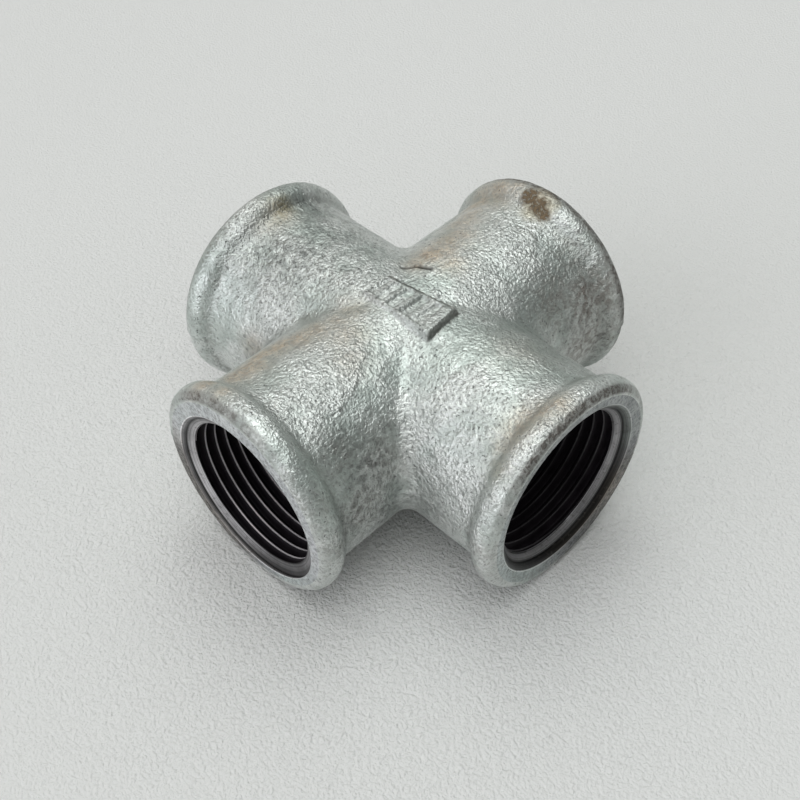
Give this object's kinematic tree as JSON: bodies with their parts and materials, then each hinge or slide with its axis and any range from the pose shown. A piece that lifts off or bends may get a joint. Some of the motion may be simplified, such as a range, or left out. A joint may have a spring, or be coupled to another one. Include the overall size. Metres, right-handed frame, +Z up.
{
  "type": "pipe cross",
  "caption": "Equal pipe cross: a beaded cast hub whose female threaded ports face out at right angles in one plane, size 3/4 inch, hot-dip galvanised.",
  "frame": {"origin": "where the axes of the two runs cross, which is the centre of the bounding box", "axes": "+X and +Y along the two runs, out through the ports port_x_pos and port_y_pos; +Z up, square to the plane of the four arms, out through the raised mark pad on top of the hub"},
  "size_m": [0.066, 0.066, 0.035],
  "materials": {
    "galvanised_casting": "hot-dip galvanised over an as-cast orange-peel skin, satin, with tan and rust stains; port faces smooth, threads cut bare and dark with oil"
  },
  "bodies": {
    "root": {"cross_body": "galvanised_casting"}
  },
  "joints": []
}
